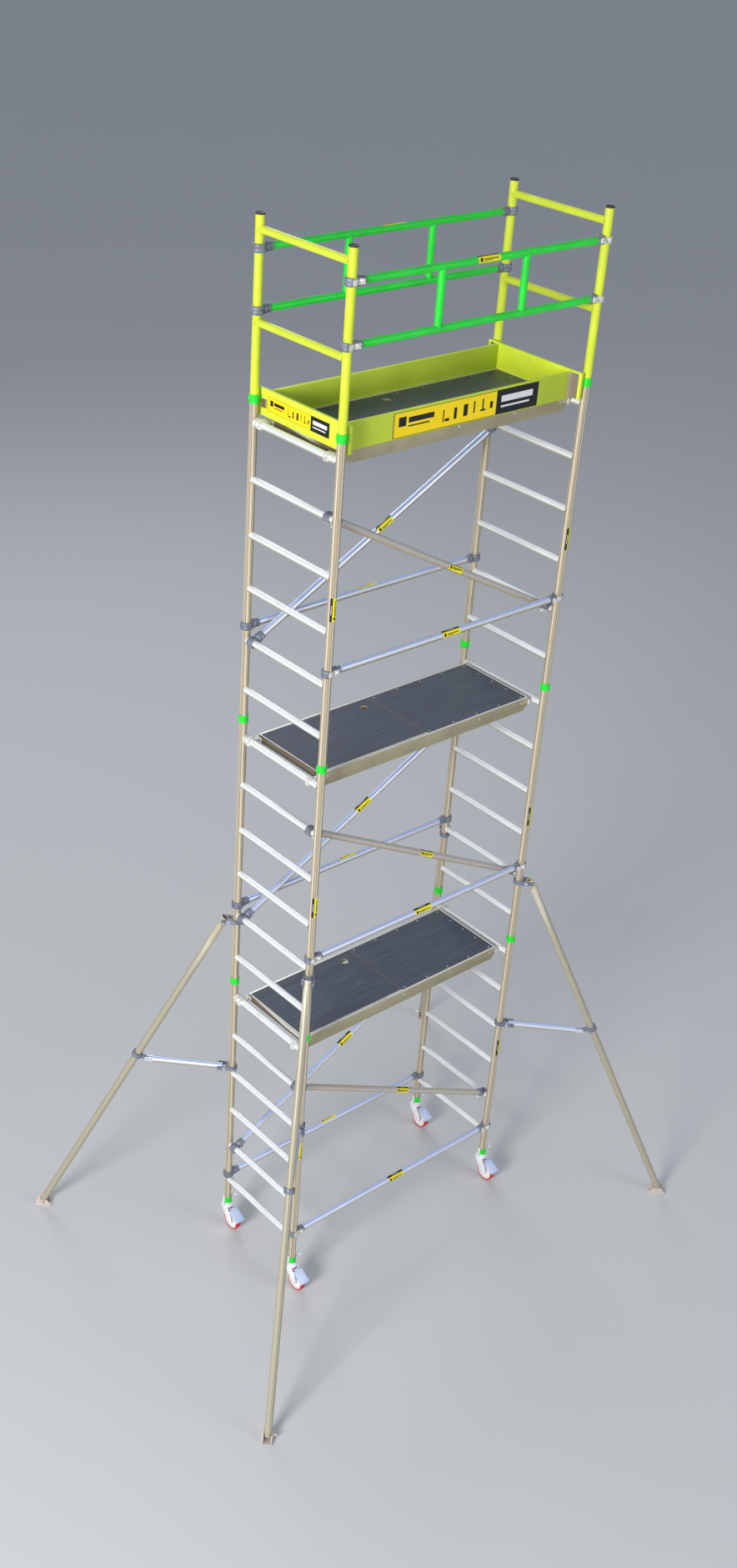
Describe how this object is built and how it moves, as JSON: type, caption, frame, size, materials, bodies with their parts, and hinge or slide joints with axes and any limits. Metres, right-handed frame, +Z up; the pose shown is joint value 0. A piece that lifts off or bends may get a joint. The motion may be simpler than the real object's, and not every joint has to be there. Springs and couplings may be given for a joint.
{
  "type": "mobile tower scaffold",
  "caption": "Tall mobile scaffold tower on braked castors, with ladder end frames, hatch platforms, guard rails, toe boards and splayed outriggers.",
  "frame": {"origin": "on the floor at the middle of the tower's footprint", "axes": "+Z up; +X along the bay from the left end frame to the right one; +Y across the tower from front to back"},
  "size_m": [3.949, 2.819, 7.225],
  "materials": {
    "frame_tube": "satin extruded aluminium with long flutes, warm",
    "guard_yellow": "powder coated aluminium, fluorescent yellow",
    "rail_green": "powder coated aluminium, bright green",
    "ring_green": "moulded nylon, bright green",
    "cap_dark": "moulded cap, near black",
    "brace_tube": "smooth satin aluminium",
    "cast_hook": "sand cast aluminium, slate grey coat",
    "platform_beam": "satin extruded aluminium",
    "deck_ply": "phenolic faced plywood with a mesh print, slate blue",
    "hook_white": "bright cast aluminium",
    "toe_board": "painted board, lime yellow",
    "clip_metal": "mill aluminium",
    "inner_tube": "mill aluminium",
    "castor_white": "white powder coat on pressed steel",
    "hub_white": "moulded nylon",
    "tyre_red": "polyurethane tread, red",
    "pedal_steel": "pale blue-grey coat on steel plate",
    "hinge_steel": "zinc plated steel",
    "leg_tube": "satin extruded aluminium with flats, warm",
    "foot_steel": "galvanised and coated steel plate"
  },
  "bodies": {
    "tower": {"base_frame_left": "frame_tube", "base_frame_right": "frame_tube", "middle_frame_left": "frame_tube", "middle_frame_right": "frame_tube", "upper_frame_left": "frame_tube", "upper_frame_right": "frame_tube", "guard_frames": "guard_yellow", "frame_spigots": "inner_tube", "lock_rings": "ring_green", "post_caps": "cap_dark", "horizontal_braces": "brace_tube", "diagonal_braces": "brace_tube", "guardrails": "rail_green", "snap_hooks": "cast_hook", "platform_frames": "platform_beam", "deck_panels": "deck_ply", "hatch_hinges": "hinge_steel", "platform_hooks": "hook_white", "toe_boards": "toe_board", "toe_board_clips": "clip_metal", "castor_stems": "castor_white"},
    "hatch_lower": {"hatch_lower": "deck_ply"},
    "hatch_middle": {"hatch_middle": "deck_ply"},
    "hatch_top": {"hatch_top": "deck_ply"},
    "castor_front_left": {"castor_front_left_fork": "castor_white"},
    "wheel_front_left": {"castor_front_left_hub": "hub_white", "castor_front_left_tyre": "tyre_red"},
    "brake_front_left": {"castor_front_left_pedal": "pedal_steel"},
    "outrigger_front_left": {"outrigger_front_left_clamps": "cast_hook"},
    "leg_front_left": {"outrigger_front_left_tube": "leg_tube", "outrigger_front_left_coupler": "cast_hook"},
    "strut_front_left": {"outrigger_front_left_strut": "brace_tube"},
    "foot_front_left": {"outrigger_front_left_foot": "foot_steel"},
    "castor_front_right": {"castor_front_right_fork": "castor_white"},
    "wheel_front_right": {"castor_front_right_hub": "hub_white", "castor_front_right_tyre": "tyre_red"},
    "brake_front_right": {"castor_front_right_pedal": "pedal_steel"},
    "outrigger_front_right": {"outrigger_front_right_clamps": "cast_hook"},
    "leg_front_right": {"outrigger_front_right_tube": "leg_tube", "outrigger_front_right_coupler": "cast_hook"},
    "strut_front_right": {"outrigger_front_right_strut": "brace_tube"},
    "foot_front_right": {"outrigger_front_right_foot": "foot_steel"},
    "castor_back_left": {"castor_back_left_fork": "castor_white"},
    "wheel_back_left": {"castor_back_left_hub": "hub_white", "castor_back_left_tyre": "tyre_red"},
    "brake_back_left": {"castor_back_left_pedal": "pedal_steel"},
    "outrigger_back_left": {"outrigger_back_left_clamps": "cast_hook"},
    "leg_back_left": {"outrigger_back_left_tube": "leg_tube", "outrigger_back_left_coupler": "cast_hook"},
    "strut_back_left": {"outrigger_back_left_strut": "brace_tube"},
    "foot_back_left": {"outrigger_back_left_foot": "foot_steel"},
    "castor_back_right": {"castor_back_right_fork": "castor_white"},
    "wheel_back_right": {"castor_back_right_hub": "hub_white", "castor_back_right_tyre": "tyre_red"},
    "brake_back_right": {"castor_back_right_pedal": "pedal_steel"},
    "outrigger_back_right": {"outrigger_back_right_clamps": "cast_hook"},
    "leg_back_right": {"outrigger_back_right_tube": "leg_tube", "outrigger_back_right_coupler": "cast_hook"},
    "strut_back_right": {"outrigger_back_right_strut": "brace_tube"},
    "foot_back_right": {"outrigger_back_right_foot": "foot_steel"}
  },
  "joints": [
    {"name": "hatch_lower_hinge", "type": "hinge", "parent": "tower", "child": "hatch_lower", "pos_m": [-0.42, -0.286, 2.14167], "axis": [1, 0, 0], "range_deg": [0, 85]},
    {"name": "hatch_middle_hinge", "type": "hinge", "parent": "tower", "child": "hatch_middle", "pos_m": [-0.42, -0.286, 4.14167], "axis": [1, 0, 0], "range_deg": [0, 85]},
    {"name": "hatch_top_hinge", "type": "hinge", "parent": "tower", "child": "hatch_top", "pos_m": [-0.42, -0.286, 6.14167], "axis": [1, 0, 0], "range_deg": [0, 85]},
    {"name": "swivel_front_left", "type": "hinge", "parent": "tower", "child": "castor_front_left", "pos_m": [-0.94, -0.375, 0.19], "axis": [0, 0, 1], "continuous": true},
    {"name": "roll_front_left", "type": "hinge", "parent": "castor_front_left", "child": "wheel_front_left", "pos_m": [-0.94, -0.44, 0.075], "axis": [1, 0, 0], "continuous": true},
    {"name": "brake_pedal_front_left", "type": "hinge", "parent": "castor_front_left", "child": "brake_front_left", "pos_m": [-0.94, -0.409, 0.16], "axis": [1, 0, 0], "range_deg": [0, 4]},
    {"name": "outrigger_swing_front_left", "type": "hinge", "parent": "tower", "child": "outrigger_front_left", "pos_m": [-0.94, -0.375, 2.72], "axis": [0, 0, 1], "range_deg": [-45, 45]},
    {"name": "outrigger_lift_front_left", "type": "hinge", "parent": "outrigger_front_left", "child": "leg_front_left", "pos_m": [-1.00081, -0.43581, 2.72], "axis": [-0.7071, 0.7071, 0], "range_deg": [0, 30]},
    {"name": "strut_fold_front_left", "type": "hinge", "parent": "outrigger_front_left", "child": "strut_front_left", "pos_m": [-1.00081, -0.43581, 1.48], "axis": [-0.7071, 0.7071, 0], "range_deg": [-78, 0]},
    {"name": "foot_pivot_front_left", "type": "hinge", "parent": "leg_front_left", "child": "foot_front_left", "pos_m": [-1.91015, -1.34515, 0.04], "axis": [-0.7071, 0.7071, 0], "range_deg": [-35, 35]},
    {"name": "swivel_front_right", "type": "hinge", "parent": "tower", "child": "castor_front_right", "pos_m": [0.94, -0.375, 0.19], "axis": [0, 0, 1], "continuous": true},
    {"name": "roll_front_right", "type": "hinge", "parent": "castor_front_right", "child": "wheel_front_right", "pos_m": [0.94, -0.44, 0.075], "axis": [1, 0, 0], "continuous": true},
    {"name": "brake_pedal_front_right", "type": "hinge", "parent": "castor_front_right", "child": "brake_front_right", "pos_m": [0.94, -0.409, 0.16], "axis": [1, 0, 0], "range_deg": [0, 4]},
    {"name": "outrigger_swing_front_right", "type": "hinge", "parent": "tower", "child": "outrigger_front_right", "pos_m": [0.94, -0.375, 2.72], "axis": [0, 0, 1], "range_deg": [-45, 45]},
    {"name": "outrigger_lift_front_right", "type": "hinge", "parent": "outrigger_front_right", "child": "leg_front_right", "pos_m": [1.00081, -0.43581, 2.72], "axis": [-0.7071, -0.7071, 0], "range_deg": [0, 30]},
    {"name": "strut_fold_front_right", "type": "hinge", "parent": "outrigger_front_right", "child": "strut_front_right", "pos_m": [1.00081, -0.43581, 1.48], "axis": [-0.7071, -0.7071, 0], "range_deg": [-78, 0]},
    {"name": "foot_pivot_front_right", "type": "hinge", "parent": "leg_front_right", "child": "foot_front_right", "pos_m": [1.91015, -1.34515, 0.04], "axis": [-0.7071, -0.7071, 0], "range_deg": [-35, 35]},
    {"name": "swivel_back_left", "type": "hinge", "parent": "tower", "child": "castor_back_left", "pos_m": [-0.94, 0.375, 0.19], "axis": [0, 0, 1], "continuous": true},
    {"name": "roll_back_left", "type": "hinge", "parent": "castor_back_left", "child": "wheel_back_left", "pos_m": [-0.94, 0.31, 0.075], "axis": [1, 0, 0], "continuous": true},
    {"name": "brake_pedal_back_left", "type": "hinge", "parent": "castor_back_left", "child": "brake_back_left", "pos_m": [-0.94, 0.341, 0.16], "axis": [1, 0, 0], "range_deg": [0, 4]},
    {"name": "outrigger_swing_back_left", "type": "hinge", "parent": "tower", "child": "outrigger_back_left", "pos_m": [-0.94, 0.375, 2.72], "axis": [0, 0, 1], "range_deg": [-45, 45]},
    {"name": "outrigger_lift_back_left", "type": "hinge", "parent": "outrigger_back_left", "child": "leg_back_left", "pos_m": [-1.00081, 0.43581, 2.72], "axis": [0.7071, 0.7071, 0], "range_deg": [0, 30]},
    {"name": "strut_fold_back_left", "type": "hinge", "parent": "outrigger_back_left", "child": "strut_back_left", "pos_m": [-1.00081, 0.43581, 1.48], "axis": [0.7071, 0.7071, 0], "range_deg": [-78, 0]},
    {"name": "foot_pivot_back_left", "type": "hinge", "parent": "leg_back_left", "child": "foot_back_left", "pos_m": [-1.91015, 1.34515, 0.04], "axis": [0.7071, 0.7071, 0], "range_deg": [-35, 35]},
    {"name": "swivel_back_right", "type": "hinge", "parent": "tower", "child": "castor_back_right", "pos_m": [0.94, 0.375, 0.19], "axis": [0, 0, 1], "continuous": true},
    {"name": "roll_back_right", "type": "hinge", "parent": "castor_back_right", "child": "wheel_back_right", "pos_m": [0.94, 0.31, 0.075], "axis": [1, 0, 0], "continuous": true},
    {"name": "brake_pedal_back_right", "type": "hinge", "parent": "castor_back_right", "child": "brake_back_right", "pos_m": [0.94, 0.341, 0.16], "axis": [1, 0, 0], "range_deg": [0, 4]},
    {"name": "outrigger_swing_back_right", "type": "hinge", "parent": "tower", "child": "outrigger_back_right", "pos_m": [0.94, 0.375, 2.72], "axis": [0, 0, 1], "range_deg": [-45, 45]},
    {"name": "outrigger_lift_back_right", "type": "hinge", "parent": "outrigger_back_right", "child": "leg_back_right", "pos_m": [1.00081, 0.43581, 2.72], "axis": [0.7071, -0.7071, 0], "range_deg": [0, 30]},
    {"name": "strut_fold_back_right", "type": "hinge", "parent": "outrigger_back_right", "child": "strut_back_right", "pos_m": [1.00081, 0.43581, 1.48], "axis": [0.7071, -0.7071, 0], "range_deg": [-78, 0]},
    {"name": "foot_pivot_back_right", "type": "hinge", "parent": "leg_back_right", "child": "foot_back_right", "pos_m": [1.91015, 1.34515, 0.04], "axis": [0.7071, -0.7071, 0], "range_deg": [-35, 35]}
  ],
  "couplings": [
    {"joint": "strut_fold_front_left", "follows": "outrigger_lift_front_left", "ratio": -2.6},
    {"joint": "strut_fold_front_right", "follows": "outrigger_lift_front_right", "ratio": -2.6},
    {"joint": "strut_fold_back_left", "follows": "outrigger_lift_back_left", "ratio": -2.6},
    {"joint": "strut_fold_back_right", "follows": "outrigger_lift_back_right", "ratio": -2.6}
  ]
}
